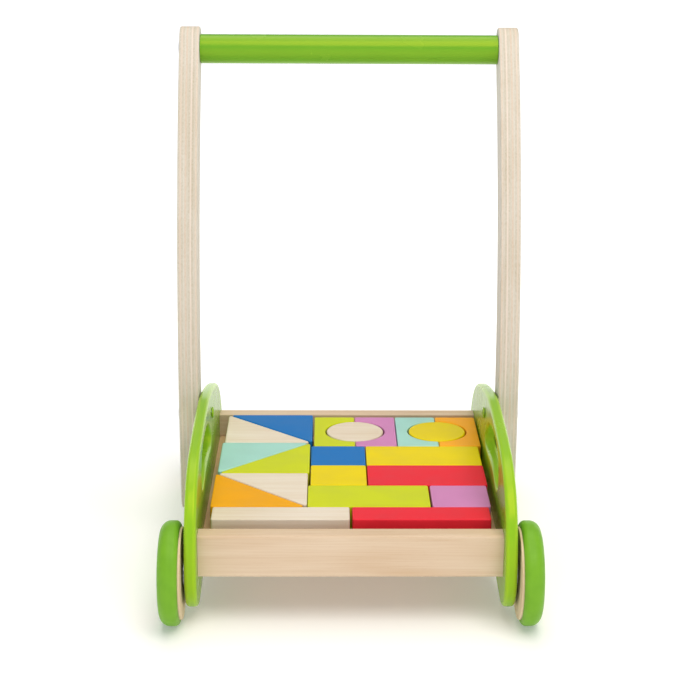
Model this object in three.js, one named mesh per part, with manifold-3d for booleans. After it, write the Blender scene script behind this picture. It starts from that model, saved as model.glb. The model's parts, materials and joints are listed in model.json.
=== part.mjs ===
// A baby walker: a wooden push cart whose shallow tray carries a set of building blocks.
// Millimetres. +X across the cart, +Y towards the child who pushes it, +Z up. The origin is on the
// floor, midway between the four wheels. "Left" is -X, the left-hand side of the cart seen from the front.
import * as THREE from 'three';
import { mergeVertices } from 'three/addons/utils/BufferGeometryUtils.js';
import Module from 'manifold-3d';

const wasm = await Module();
wasm.setup();

// ---- Driving dimensions -------------------------------------------------------------------------

const OVERALL_WIDTH = 280; // over the tyres
const OVERALL_LENGTH = 355; // over the front and rear tyres
const OVERALL_HEIGHT = 410; // floor to the top of the handle arms
const GAP = 0.3; // left between faces that touch on the real cart
const HALF_TURN = Math.PI;
const QUARTER_TURN = Math.PI / 2;
const WHEEL_ROUND = 32; // flats round a wheel
const SMALL_ROUND = 14; // flats round a fastener or its hole

// Wheels: a wooden core with a rubber tyre round it, on a stub axle that the side panel holds.
const WHEEL_RADIUS = 38.8;
const AXLE_Y = OVERALL_LENGTH / 2 - WHEEL_RADIUS; // front axles at -AXLE_Y, rear axles at +AXLE_Y
const AXLE_Z = WHEEL_RADIUS;
const TYRE_OUTER_X = OVERALL_WIDTH / 2;
const TYRE_WIDTH = 15;
const TYRE_INNER_ROUNDING = 4.2;
const TYRE_OUTER_ROUNDING = 8;
const INNER_SEAM_RADIUS = 34.3; // where the tyre meets the core on the side towards the panel
const OUTER_SEAM_RADIUS = 30.4; // and on the side away from it
const CORE_PROUD = 1.6; // how far the core stands inwards of the tyre
const CORE_SET_BACK = 0.8; // how far the core's outer face lies behind the tyre's
const AXLE_RADIUS = 3.7;
const AXLE_WEB = 0.5; // wood left between the axle's blind hole and the panel's inner face
const AXLE_HEAD_RADIUS = 7.5;
const AXLE_HEAD_HEIGHT = 3.9;
const HUB_CAP_RADIUS = 12;
const HUB_CAP_HEIGHT = 3.2;
const HUB_CAP_PROUD = 0.5; // how far the cap's dome stands out of the core
const WASHER_RADIUS = 9;

// Side panels: two cut-out boards that hold the tray, the wheels and the handle arms.
const PANEL_INNER_X = 112.2;
const PANEL_THICKNESS = 9;
const PANEL_OUTER_X = PANEL_INNER_X + PANEL_THICKNESS;
const PANEL_ROUNDING = 3;
const FOOT_Y = 130; // centre of the round foot at each end of the panel
const FOOT_Z = 41;
const FOOT_RADIUS = 30.4;
const BELLY_Z = 24; // top of the shallow arch between the feet

// Tray: a front and a back rail between the panels, and a floor board that fits their grooves.
const RAIL_LENGTH = 2 * (PANEL_INNER_X - GAP);
const RAIL_THICKNESS = 14.1;
const RAIL_BOTTOM_Z = 38.6;
const RAIL_TOP_Z = 71.2;
const RAIL_OUTER_ROUNDING = 2; // along the top edge that faces out
const RAIL_INNER_ROUNDING = 0.8; // along the top edge that faces the blocks
const RAIL_BOTTOM_ROUNDING = 1.2;
const FRONT_RAIL_FACE_Y = -145.5;
const BACK_RAIL_FACE_Y = 135.7;
const FLOOR_TOP_Z = 51.1;
const FLOOR_THICKNESS = 6;
const GROOVE_DEPTH = 4.3;

// Handle: two arms that rise straight from the panels and then lean back, and a round grip bar.
const ARM_WIDTH = 28; // seen from the side
const ARM_INNER_X = PANEL_OUTER_X + GAP;
const ARM_OUTER_X = 137.9;
const ARM_ROUNDING = 2.5;
const ARM_Y = 28; // centre line of the straight lower part
const ARM_BOTTOM_Z = 23;
const ARM_BEND_Z = 95; // where the lean begins
const ARM_BEND_RADIUS = 586; // radius of the centre line's curve
const GRIP_Z = 392.2;
const GRIP_RADIUS = 11.87;
const GRIP_ROUNDING = 1;

// Fasteners.
const SHANK_RADIUS = 2;
const BOLT_SHANK_RADIUS = 2.5;
const BOLT_HEAD_RADIUS = 6.5;
const DOME_HEIGHT = 0.9; // low domed heads on the outside of the arms
const NUT_RADIUS = 4.5;
const NUT_HEIGHT = 1.3;
const NUT_CHAMFER = 0.4;
const INNER_HEAD_HEIGHT = 2.2;
const ARM_BOLT_Z = 106;
const ARM_SCREW_Z = 36;
const ARM_SCREW_TIP_X = 134;
const GRIP_SCREW_TIP_X = 95;
const RAIL_SCREW_Z = 56;
const RAIL_SCREW_TIP_X = 92;
const COUNTERSINK_RADIUS = 4.2;
const COUNTERSINK_DEPTH = 2.4;

// Building blocks.
const BLOCK_HEIGHT = 21.7;
const BLOCK_BEVEL = 0.9;
const BLOCK_GAP = 0.6;
const STICK = { width: 103.7, depth: 24.2 };
const LONG = { width: 93.8, depth: 43.4 };
const SHORT = { width: 44.4, depth: 43.4 };
const TRIANGLE = { width: 73.4, depth: 69.3 };
const HALF_ARCH = { width: 34.4, depth: 71.9, notchRadius: 25 };
const DISC_RADIUS = 24;

// ---- Materials ----------------------------------------------------------------------------------

const finish = (colour, roughness, metalness = 0) =>
  new THREE.MeshStandardMaterial({ color: colour, roughness, metalness });

const greenLacquer = finish('#8fce32', 0.22);
const greenRubber = finish('#7dbe3c', 0.5);
const birchPly = finish('#e4d2b9', 0.55);
const beech = finish('#e1c8a5', 0.55);
const steel = finish('#b9bcc0', 0.35, 1);
const blockWood = finish('#e4d8c4', 0.6);
const blue = finish('#2d78be', 0.4);
const aqua = finish('#a0d7c8', 0.4);
const lime = finish('#d2dc2d', 0.4);
const orange = finish('#f5af23', 0.4);
const tangerine = finish('#eba041', 0.4);
const yellow = finish('#f0d728', 0.4);
const red = finish('#eb1e28', 0.4);
const violet = finish('#d78cbe', 0.4);

// ---- Ways of making a solid ---------------------------------------------------------------------

// Rounds the edges of an extrusion without making the outline any larger.
function extrusion(shape, depth, rounding, curveSegments) {
  const geometry = new THREE.ExtrudeGeometry(shape, {
    depth: depth - 2 * rounding,
    bevelThickness: rounding,
    bevelSize: rounding,
    bevelOffset: -rounding,
    bevelSegments: 1,
    curveSegments,
  });
  return geometry.translate(0, 0, rounding);
}

// An outline drawn with the cart's Y and Z becomes a board that runs across the cart from x = near.
function boardAcross(shape, near, far, rounding, curveSegments) {
  const geometry = extrusion(shape, far - near, rounding, curveSegments);
  geometry.translate(0, 0, near);
  const alongY = new THREE.Vector3(0, 1, 0);
  const alongZ = new THREE.Vector3(0, 0, 1);
  const alongX = new THREE.Vector3(1, 0, 0);
  return geometry.applyMatrix4(new THREE.Matrix4().makeBasis(alongY, alongZ, alongX));
}

// Turns a profile of [distance from the centre plane, radius] pairs about an axis along X.
function turned(profile, segments = SMALL_ROUND) {
  const points = profile.map(([x, radius]) => new THREE.Vector2(radius, x));
  return new THREE.LatheGeometry(points, segments).rotateZ(-QUARTER_TURN);
}

// A round bar along X, or a cone where the two radii differ, about the line at the given Y and Z.
function barAcross(near, far, y, z, nearRadius, farRadius = nearRadius) {
  const bar = new THREE.CylinderGeometry(farRadius, nearRadius, far - near, SMALL_ROUND);
  return bar.rotateZ(-QUARTER_TURN).translate((near + far) / 2, y, z);
}

function toSolid(geometry) {
  const bare = geometry.clone();
  bare.deleteAttribute('normal');
  bare.deleteAttribute('uv');
  const welded = mergeVertices(bare);
  const vertProperties = new Float32Array(welded.attributes.position.array);
  const triVerts = new Uint32Array(welded.index.array);
  return new wasm.Manifold(new wasm.Mesh({ numProp: 3, vertProperties, triVerts }));
}

function cut(geometry, cutters) {
  const solid = cutters.reduce((left, cutter) => left.subtract(toSolid(cutter)), toSolid(geometry));
  const mesh = solid.getMesh();
  const result = new THREE.BufferGeometry();
  result.setAttribute('position', new THREE.BufferAttribute(mesh.vertProperties, 3));
  result.setIndex(new THREE.BufferAttribute(mesh.triVerts, 1));
  result.computeVertexNormals();
  return result;
}

// The same piece for the left side of the cart, with its faces still pointing out.
function mirrored(geometry) {
  const copy = mergeVertices(geometry.clone());
  copy.scale(-1, 1, 1);
  copy.index.array.reverse();
  return copy;
}

// ---- Side panel ---------------------------------------------------------------------------------

// Small round feet over the axles, a high shoulder in front, a long slope behind and a shallow arch
// below.
function panelOutline() {
  const endY = FOOT_Y + FOOT_RADIUS;
  const soleZ = FOOT_Z - FOOT_RADIUS;
  const instepY = 108;
  const shoulder = [-90, 119.8];
  const top = [0, 126];
  const slope = [105, 106];
  const heelZ = FOOT_Z + 4;
  const outline = new THREE.Shape();
  // Each curve gives its two control points and then its end.
  outline.moveTo(0, BELLY_Z);
  outline.bezierCurveTo(-60, BELLY_Z, -instepY, soleZ, -FOOT_Y, soleZ);
  outline.absarc(-FOOT_Y, FOOT_Z, FOOT_RADIUS, -QUARTER_TURN, -HALF_TURN, true);
  outline.lineTo(-endY, heelZ);
  outline.bezierCurveTo(-endY, 87.7, -133.7, 113.7, ...shoulder);
  outline.bezierCurveTo(-65.2, 123.3, -25, top[1], ...top);
  outline.bezierCurveTo(25, top[1], 72, 116, ...slope);
  outline.bezierCurveTo(124, 99.7, endY, 78, endY, heelZ);
  outline.lineTo(endY, FOOT_Z);
  outline.absarc(FOOT_Y, FOOT_Z, FOOT_RADIUS, 0, -QUARTER_TURN, true);
  outline.bezierCurveTo(instepY, soleZ, 60, BELLY_Z, 0, BELLY_Z);
  outline.holes.push(handHole());
  return outline;
}

// The long window through the panel. Its top follows the panel's and its sill humps up slightly.
function handHole() {
  const frontSill = [-74, 80.5];
  const hump = [-38, 86];
  const rearSill = [8, 83];
  const rearTop = [0, 105];
  const frontTop = [-80, 109];
  const hole = new THREE.Path();
  hole.moveTo(...frontSill);
  hole.bezierCurveTo(-62, frontSill[1], -56, hump[1], ...hump);
  hole.bezierCurveTo(-20, hump[1], -6, rearSill[1], ...rearSill);
  hole.bezierCurveTo(24, rearSill[1], 23, 94.4, ...rearTop);
  hole.bezierCurveTo(-22, 115, -62, 117, ...frontTop);
  hole.bezierCurveTo(-93, 103.2, -91, frontSill[1], ...frontSill);
  return hole;
}

const railScrewY = {
  front: FRONT_RAIL_FACE_Y + RAIL_THICKNESS / 2,
  back: BACK_RAIL_FACE_Y - RAIL_THICKNESS / 2,
};

function sidePanel() {
  const beyond = PANEL_OUTER_X + 1;
  const axleHoleEnd = PANEL_INNER_X + AXLE_WEB;
  const cutters = [
    barAcross(axleHoleEnd, beyond, -AXLE_Y, AXLE_Z, AXLE_RADIUS + GAP),
    barAcross(axleHoleEnd, beyond, AXLE_Y, AXLE_Z, AXLE_RADIUS + GAP),
    barAcross(PANEL_INNER_X - 1, beyond, ARM_Y, ARM_BOLT_Z, BOLT_SHANK_RADIUS + GAP),
    barAcross(PANEL_INNER_X - 1, beyond, ARM_Y, ARM_SCREW_Z, SHANK_RADIUS + GAP),
  ];
  for (const y of Object.values(railScrewY)) {
    const wide = COUNTERSINK_RADIUS + GAP;
    const narrow = SHANK_RADIUS + GAP;
    cutters.push(barAcross(PANEL_INNER_X - 1, beyond, y, RAIL_SCREW_Z, narrow));
    cutters.push(barAcross(PANEL_OUTER_X - COUNTERSINK_DEPTH, PANEL_OUTER_X, y, RAIL_SCREW_Z, narrow, wide));
    cutters.push(barAcross(PANEL_OUTER_X, beyond, y, RAIL_SCREW_Z, wide));
  }
  return cut(boardAcross(panelOutline(), PANEL_INNER_X, PANEL_OUTER_X, PANEL_ROUNDING, 7), cutters);
}

// ---- Tray ---------------------------------------------------------------------------------------

// A rail's section. inward is +1 for the front rail and -1 for the back rail, and the groove that
// takes the floor board is on that side.
function railOutline(faceY, inward) {
  const y = (fromFace) => faceY + inward * fromFace;
  const grooveTop = FLOOR_TOP_Z + GAP;
  const grooveBottom = FLOOR_TOP_Z - FLOOR_THICKNESS - GAP;
  const outline = new THREE.Shape();
  outline.moveTo(y(RAIL_BOTTOM_ROUNDING), RAIL_BOTTOM_Z);
  outline.lineTo(y(0), RAIL_BOTTOM_Z + RAIL_BOTTOM_ROUNDING);
  outline.lineTo(y(0), RAIL_TOP_Z - RAIL_OUTER_ROUNDING);
  outline.quadraticCurveTo(y(0), RAIL_TOP_Z, y(RAIL_OUTER_ROUNDING), RAIL_TOP_Z);
  outline.lineTo(y(RAIL_THICKNESS - RAIL_INNER_ROUNDING), RAIL_TOP_Z);
  outline.lineTo(y(RAIL_THICKNESS), RAIL_TOP_Z - RAIL_INNER_ROUNDING);
  outline.lineTo(y(RAIL_THICKNESS), grooveTop);
  outline.lineTo(y(RAIL_THICKNESS - GROOVE_DEPTH), grooveTop);
  outline.lineTo(y(RAIL_THICKNESS - GROOVE_DEPTH), grooveBottom);
  outline.lineTo(y(RAIL_THICKNESS), grooveBottom);
  outline.lineTo(y(RAIL_THICKNESS), RAIL_BOTTOM_Z + RAIL_BOTTOM_ROUNDING);
  outline.lineTo(y(RAIL_THICKNESS - RAIL_BOTTOM_ROUNDING), RAIL_BOTTOM_Z);
  return outline;
}

function rail(faceY, inward, screwY) {
  const board = boardAcross(railOutline(faceY, inward), -RAIL_LENGTH / 2, RAIL_LENGTH / 2, 0, 4);
  const pilot = SHANK_RADIUS + GAP;
  const tip = RAIL_SCREW_TIP_X - GAP;
  const end = RAIL_LENGTH / 2 + 1;
  return cut(board, [
    barAcross(tip, end, screwY, RAIL_SCREW_Z, pilot),
    barAcross(-end, -tip, screwY, RAIL_SCREW_Z, pilot),
  ]);
}

function trayFloor() {
  const reach = RAIL_THICKNESS - GROOVE_DEPTH + GAP;
  const front = FRONT_RAIL_FACE_Y + reach;
  const back = BACK_RAIL_FACE_Y - reach;
  const board = new THREE.BoxGeometry(RAIL_LENGTH, back - front, FLOOR_THICKNESS);
  return board.translate(0, (front + back) / 2, FLOOR_TOP_Z - FLOOR_THICKNESS / 2);
}

// ---- Handle -------------------------------------------------------------------------------------

const armCurveCentreY = ARM_Y + ARM_BEND_RADIUS;
const leanAt = (z) => Math.asin((z - ARM_BEND_Z) / ARM_BEND_RADIUS);
const gripY = armCurveCentreY - ARM_BEND_RADIUS * Math.cos(leanAt(GRIP_Z));

// A strip of even width with round ends, upright at the panel and curving back towards the grip.
function armOutline() {
  const half = ARM_WIDTH / 2;
  const lean = leanAt(OVERALL_HEIGHT - half);
  const topY = armCurveCentreY - ARM_BEND_RADIUS * Math.cos(lean);
  const outline = new THREE.Shape();
  const frontRadius = ARM_BEND_RADIUS + half;
  const backRadius = ARM_BEND_RADIUS - half;
  outline.moveTo(ARM_Y - half, ARM_BOTTOM_Z + half);
  outline.absarc(armCurveCentreY, ARM_BEND_Z, frontRadius, HALF_TURN, HALF_TURN - lean, true);
  outline.absarc(topY, OVERALL_HEIGHT - half, half, HALF_TURN - lean, -lean, true);
  outline.absarc(armCurveCentreY, ARM_BEND_Z, backRadius, HALF_TURN - lean, HALF_TURN, false);
  outline.absarc(ARM_Y, ARM_BOTTOM_Z + half, half, 0, -HALF_TURN, true);
  return outline;
}

function handleArm() {
  const beyond = ARM_OUTER_X + 1;
  const short = ARM_INNER_X - 1;
  return cut(boardAcross(armOutline(), ARM_INNER_X, ARM_OUTER_X, ARM_ROUNDING, 8), [
    barAcross(short, beyond, ARM_Y, ARM_BOLT_Z, BOLT_SHANK_RADIUS + GAP),
    barAcross(short, ARM_SCREW_TIP_X + GAP, ARM_Y, ARM_SCREW_Z, SHANK_RADIUS + GAP),
    barAcross(short, beyond, gripY, GRIP_Z, SHANK_RADIUS + GAP),
  ]);
}

function gripBar() {
  const end = PANEL_OUTER_X;
  const round = new THREE.Shape().absarc(gripY, GRIP_Z, GRIP_RADIUS, 0, 2 * HALF_TURN);
  return cut(boardAcross(round, -end, end, GRIP_ROUNDING, 14), [
    barAcross(GRIP_SCREW_TIP_X - GAP, end + 1, gripY, GRIP_Z, SHANK_RADIUS + GAP),
    barAcross(-end - 1, -GRIP_SCREW_TIP_X + GAP, gripY, GRIP_Z, SHANK_RADIUS + GAP),
  ]);
}

// ---- Fasteners, drawn for the right side of the cart --------------------------------------------

// A screw or bolt with a low domed head against the arm's outer face.
function domedFastener(tipX, shankRadius) {
  const seat = ARM_OUTER_X + GAP;
  return turned([
    [tipX, 0],
    [tipX, shankRadius],
    [seat, shankRadius],
    [seat, BOLT_HEAD_RADIUS],
    [seat + DOME_HEIGHT * 0.7, BOLT_HEAD_RADIUS * 0.6],
    [seat + DOME_HEIGHT, 0],
  ]);
}

const nutFaceX = PANEL_INNER_X - GAP - NUT_HEIGHT;
const armBolt = () => domedFastener(nutFaceX + NUT_CHAMFER, BOLT_SHANK_RADIUS);
const gripScrew = () => domedFastener(GRIP_SCREW_TIP_X, SHANK_RADIUS);

function armNut() {
  const seat = PANEL_INNER_X - GAP;
  const bore = BOLT_SHANK_RADIUS + GAP;
  return turned([
    [nutFaceX, bore],
    [nutFaceX, NUT_RADIUS - NUT_CHAMFER],
    [nutFaceX + NUT_CHAMFER, NUT_RADIUS],
    [seat, NUT_RADIUS],
    [seat, bore],
    [nutFaceX, bore],
  ]);
}

// Driven from under the tray floor, through the panel and into the arm.
function armScrew() {
  const seat = PANEL_INNER_X - GAP;
  return turned([
    [seat - INNER_HEAD_HEIGHT, 0],
    [seat - INNER_HEAD_HEIGHT * 0.6, NUT_RADIUS],
    [seat, NUT_RADIUS],
    [seat, SHANK_RADIUS],
    [ARM_SCREW_TIP_X, SHANK_RADIUS],
    [ARM_SCREW_TIP_X, 0],
  ]);
}

function railScrew() {
  return turned([
    [RAIL_SCREW_TIP_X, 0],
    [RAIL_SCREW_TIP_X, SHANK_RADIUS],
    [PANEL_OUTER_X - COUNTERSINK_DEPTH, SHANK_RADIUS],
    [PANEL_OUTER_X, COUNTERSINK_RADIUS],
    [PANEL_OUTER_X, 0],
  ]);
}

// ---- Wheel, drawn for the right side of the cart ------------------------------------------------

const tyreInnerX = TYRE_OUTER_X - TYRE_WIDTH;
const stepX = TYRE_OUTER_X - TYRE_OUTER_ROUNDING; // where the core steps down to its smaller radius
const coreInnerX = tyreInnerX - CORE_PROUD;
const coreOuterX = TYRE_OUTER_X - CORE_SET_BACK;
const hubFloorX = coreOuterX + HUB_CAP_PROUD - HUB_CAP_HEIGHT;
const axleHeadSeatX = hubFloorX - AXLE_HEAD_HEIGHT - 2 * GAP;
const axleTipX = PANEL_INNER_X + AXLE_WEB + GAP;

// A quarter circle that rounds the tread at sideX, clockwise from the start angle.
function treadRounding(sideX, inwards, rounding, start, steps) {
  const centreX = sideX + inwards * rounding;
  const centreRadius = WHEEL_RADIUS - rounding;
  return Array.from({ length: steps + 1 }, (_, step) => {
    const angle = start - (step / steps) * QUARTER_TURN;
    return [centreX + rounding * Math.cos(angle), centreRadius + rounding * Math.sin(angle)];
  });
}

// The tyre's tread is well rounded on the outside of the cart and less so on the inside.
function tyre() {
  return turned([
    [tyreInnerX, INNER_SEAM_RADIUS],
    ...treadRounding(tyreInnerX, 1, TYRE_INNER_ROUNDING, HALF_TURN, 3),
    ...treadRounding(TYRE_OUTER_X, -1, TYRE_OUTER_ROUNDING, QUARTER_TURN, 4),
    [TYRE_OUTER_X, OUTER_SEAM_RADIUS],
    [stepX, OUTER_SEAM_RADIUS],
    [stepX, INNER_SEAM_RADIUS],
    [tyreInnerX, INNER_SEAM_RADIUS],
  ], WHEEL_ROUND);
}

// A turned disc with a step that holds the tyre, a running bore, a recess for the axle's head and a
// wider one for the hub cap.
function wheelCore() {
  const innerRadius = INNER_SEAM_RADIUS - GAP;
  const outerRadius = OUTER_SEAM_RADIUS - GAP;
  const chamfer = 0.6;
  const bore = AXLE_RADIUS + GAP;
  const headRecess = AXLE_HEAD_RADIUS + 2 * GAP;
  const capRecess = HUB_CAP_RADIUS + GAP;
  return turned([
    [coreInnerX, bore],
    [coreInnerX, innerRadius - chamfer],
    [coreInnerX + chamfer, innerRadius],
    [stepX - GAP, innerRadius],
    [stepX - GAP, outerRadius],
    [coreOuterX - chamfer, outerRadius],
    [coreOuterX, outerRadius - chamfer],
    [coreOuterX, capRecess],
    [hubFloorX - GAP, capRecess],
    [hubFloorX - GAP, headRecess],
    [axleHeadSeatX - GAP, headRecess],
    [axleHeadSeatX - GAP, bore],
    [coreInnerX, bore],
  ], WHEEL_ROUND);
}

function hubCap() {
  return turned([
    [hubFloorX, 0],
    [hubFloorX, HUB_CAP_RADIUS],
    [hubFloorX + HUB_CAP_HEIGHT * 0.6, HUB_CAP_RADIUS],
    [hubFloorX + HUB_CAP_HEIGHT * 0.9, HUB_CAP_RADIUS * 0.8],
    [hubFloorX + HUB_CAP_HEIGHT, 0],
  ]);
}

function axleBolt() {
  return turned([
    [axleTipX, 0],
    [axleTipX, AXLE_RADIUS],
    [axleHeadSeatX, AXLE_RADIUS],
    [axleHeadSeatX, AXLE_HEAD_RADIUS],
    [axleHeadSeatX + AXLE_HEAD_HEIGHT, AXLE_HEAD_RADIUS],
    [axleHeadSeatX + AXLE_HEAD_HEIGHT, 0],
  ]);
}

function axleWasher() {
  const bore = AXLE_RADIUS + GAP;
  return turned([
    [PANEL_OUTER_X + GAP, bore],
    [PANEL_OUTER_X + GAP, WASHER_RADIUS],
    [coreInnerX - GAP, WASHER_RADIUS],
    [coreInnerX - GAP, bore],
    [PANEL_OUTER_X + GAP, bore],
  ]);
}

// ---- Building blocks, each drawn from its own front left corner -----------------------------------

function rectangle({ width, depth }) {
  const outline = new THREE.Shape();
  outline.moveTo(0, 0);
  outline.lineTo(width, 0);
  outline.lineTo(width, depth);
  outline.lineTo(0, depth);
  return outline;
}

// Half of a rectangle cut corner to corner. The square corner is at the named side and end.
function triangle(side, end) {
  const { width, depth } = TRIANGLE;
  const x = side === 'right' ? width : 0;
  const y = end === 'back' ? depth : 0;
  const towardsX = side === 'right' ? BLOCK_GAP : width - BLOCK_GAP;
  const towardsY = end === 'back' ? BLOCK_GAP : depth - BLOCK_GAP;
  const outline = new THREE.Shape();
  outline.moveTo(x, y);
  outline.lineTo(towardsX, y);
  outline.lineTo(x, towardsY);
  return outline;
}

// Half of a square with a round hole: a bar with a half-round notch in the named side.
function halfArch(notchSide) {
  const { width, depth, notchRadius } = HALF_ARCH;
  const notchX = notchSide === 'right' ? width : 0;
  const plainX = width - notchX;
  const outline = new THREE.Shape();
  outline.moveTo(plainX, 0);
  outline.lineTo(notchX, 0);
  outline.absarc(notchX, depth / 2, notchRadius, -QUARTER_TURN, QUARTER_TURN, notchSide === 'right');
  outline.lineTo(notchX, depth);
  outline.lineTo(plainX, depth);
  return outline;
}

const disc = () => new THREE.Shape().absarc(0, 0, DISC_RADIUS, 0, 2 * HALF_TURN);

// Where the blocks lie: a row of sticks in front, a column of triangle cells on the left, and rows of
// bricks and arches on the right, each set in a little from the last, as blocks put back by hand are.
const STICK_ROW_Y = -118.5;
const NATURAL_STICK_X = -104.1;
const RED_STICK_X = 1.6;
const CELL_X = [-106.1, -104.9, -103.2]; // left side of each cell of triangles, from the front
const CELL_SLACK = 0.5;
const ROW_SLACK = 0.4;
const SHORT_BRICK_SET_IN = 1.8;
const ARCH_SET_IN = 3.9;
const VIOLET_SLACK = 0.7;
const RED_SLACK = 0.3;

const firstRowY = STICK_ROW_Y + STICK.depth + BLOCK_GAP;
const rowY = (row) => firstRowY + row * (LONG.depth + BLOCK_GAP);
const archRowY = rowY(3);
const cellY = (cell) => firstRowY + CELL_SLACK + cell * (TRIANGLE.depth + BLOCK_GAP);
const rowsX = CELL_X[0] + TRIANGLE.width + ROW_SLACK;
const shortsX = rowsX + SHORT_BRICK_SET_IN;
const archX = (half) => rowsX + ARCH_SET_IN + half * (HALF_ARCH.width + BLOCK_GAP);
const discY = archRowY + HALF_ARCH.depth / 2;
const discX = (pair) => archX(2 * pair + 1) - BLOCK_GAP / 2;
const afterShort = shortsX + SHORT.width + BLOCK_GAP;
const afterLong = rowsX + LONG.width + BLOCK_GAP;

const BLOCKS = [
  ['block_stick_natural', rectangle(STICK), blockWood, NATURAL_STICK_X, STICK_ROW_Y],
  ['block_stick_red', rectangle(STICK), red, RED_STICK_X, STICK_ROW_Y],
  ['block_long_lime', rectangle(LONG), lime, rowsX, rowY(0)],
  ['block_short_violet', rectangle(SHORT), violet, afterLong + VIOLET_SLACK, rowY(0)],
  ['block_short_yellow', rectangle(SHORT), yellow, shortsX, rowY(1)],
  ['block_long_red', rectangle(LONG), red, afterShort + RED_SLACK, rowY(1)],
  ['block_short_blue', rectangle(SHORT), blue, shortsX, rowY(2)],
  ['block_long_yellow', rectangle(LONG), yellow, afterShort, rowY(2)],
  ['block_arch_lime', halfArch('right'), lime, archX(0), archRowY],
  ['block_arch_violet', halfArch('left'), violet, archX(1), archRowY],
  ['block_arch_aqua', halfArch('right'), aqua, archX(2), archRowY],
  ['block_arch_orange', halfArch('left'), tangerine, archX(3), archRowY],
  ['block_disc_natural', disc(), blockWood, discX(0), discY],
  ['block_disc_yellow', disc(), yellow, discX(1), discY],
  ['block_triangle_orange', triangle('left', 'front'), orange, CELL_X[0], cellY(0)],
  ['block_triangle_natural_front', triangle('right', 'back'), blockWood, CELL_X[0], cellY(0)],
  ['block_triangle_lime', triangle('right', 'front'), lime, CELL_X[1], cellY(1)],
  ['block_triangle_aqua', triangle('left', 'back'), aqua, CELL_X[1], cellY(1)],
  ['block_triangle_natural_back', triangle('left', 'front'), blockWood, CELL_X[2], cellY(2)],
  ['block_triangle_blue', triangle('right', 'back'), blue, CELL_X[2], cellY(2)],
];

// ---- Assembly -----------------------------------------------------------------------------------

const walker = new THREE.Group();

function add(name, geometry, material, x = 0, y = 0, z = 0) {
  const mesh = new THREE.Mesh(geometry, material);
  mesh.name = name;
  mesh.position.set(x, y, z);
  walker.add(mesh);
}

// Adds the right-hand piece as drawn and its mirror image on the left.
function addPair(name, geometry, material, y = 0, z = 0) {
  add(`${name}_right`, geometry, material, 0, y, z);
  add(`${name}_left`, mirrored(geometry), material, 0, y, z);
}

addPair('side_panel', sidePanel(), greenLacquer);
add('front_rail', rail(FRONT_RAIL_FACE_Y, 1, railScrewY.front), beech);
add('back_rail', rail(BACK_RAIL_FACE_Y, -1, railScrewY.back), beech);
add('tray_floor', trayFloor(), birchPly);
addPair('handle_arm', handleArm(), birchPly);
add('grip_bar', gripBar(), greenLacquer);

addPair('arm_bolt', armBolt(), steel, ARM_Y, ARM_BOLT_Z);
addPair('arm_nut', armNut(), greenLacquer, ARM_Y, ARM_BOLT_Z);
addPair('arm_screw', armScrew(), steel, ARM_Y, ARM_SCREW_Z);
addPair('grip_screw', gripScrew(), steel, gripY, GRIP_Z);
addPair('rail_screw_front', railScrew(), steel, railScrewY.front, RAIL_SCREW_Z);
addPair('rail_screw_back', railScrew(), steel, railScrewY.back, RAIL_SCREW_Z);

for (const [end, y] of [['front', -AXLE_Y], ['back', AXLE_Y]]) {
  addPair(`tyre_${end}`, tyre(), greenRubber, y, AXLE_Z);
  addPair(`wheel_core_${end}`, wheelCore(), beech, y, AXLE_Z);
  addPair(`hub_cap_${end}`, hubCap(), greenLacquer, y, AXLE_Z);
  addPair(`axle_bolt_${end}`, axleBolt(), steel, y, AXLE_Z);
  addPair(`axle_washer_${end}`, axleWasher(), steel, y, AXLE_Z);
}

for (const [name, outline, material, x, y] of BLOCKS) {
  add(name, extrusion(outline, BLOCK_HEIGHT, BLOCK_BEVEL, 11), material, x, y, FLOOR_TOP_Z + GAP);
}

export default walker;
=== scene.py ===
"""The looks of a baby walker: a lacquered push cart, plywood handle arms and a tray of painted blocks.

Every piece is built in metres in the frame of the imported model: +X across the cart, +Y towards the
child who pushes, +Z up. Each piece takes its place and outer size from the CAD node that it stands for.
"""

import json
import math

import bmesh
import bpy
from mathutils import Matrix, Vector


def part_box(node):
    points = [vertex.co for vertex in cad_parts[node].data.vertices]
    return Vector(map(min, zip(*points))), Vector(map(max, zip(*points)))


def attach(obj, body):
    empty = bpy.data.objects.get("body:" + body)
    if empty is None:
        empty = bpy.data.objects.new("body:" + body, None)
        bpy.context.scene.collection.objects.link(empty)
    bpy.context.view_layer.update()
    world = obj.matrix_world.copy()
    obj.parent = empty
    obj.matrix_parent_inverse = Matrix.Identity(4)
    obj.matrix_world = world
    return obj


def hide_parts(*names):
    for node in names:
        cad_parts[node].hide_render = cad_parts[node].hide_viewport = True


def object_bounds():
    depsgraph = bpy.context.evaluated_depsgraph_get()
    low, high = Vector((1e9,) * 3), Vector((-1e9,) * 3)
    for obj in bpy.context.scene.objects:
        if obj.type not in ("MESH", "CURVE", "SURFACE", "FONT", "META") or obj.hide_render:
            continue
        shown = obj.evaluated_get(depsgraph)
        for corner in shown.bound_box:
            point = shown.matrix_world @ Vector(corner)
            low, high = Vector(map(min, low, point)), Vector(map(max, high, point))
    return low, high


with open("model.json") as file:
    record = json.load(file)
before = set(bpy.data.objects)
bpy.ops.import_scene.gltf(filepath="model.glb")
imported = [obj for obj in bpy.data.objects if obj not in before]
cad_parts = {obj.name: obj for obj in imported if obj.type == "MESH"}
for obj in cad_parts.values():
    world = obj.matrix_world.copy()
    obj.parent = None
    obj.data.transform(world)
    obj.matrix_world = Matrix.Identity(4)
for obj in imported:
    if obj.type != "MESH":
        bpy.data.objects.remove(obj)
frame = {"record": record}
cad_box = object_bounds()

RECORD = frame["record"]
BODY_OF = {node: body for body, nodes in RECORD["behaviour"]["bodies"].items() for node in nodes}
SLOT_OF = {part["node"]: part["material_slot"] for part in RECORD["subparts"]}
MM = 0.001
SIDES = {"left": -1, "right": 1}
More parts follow.
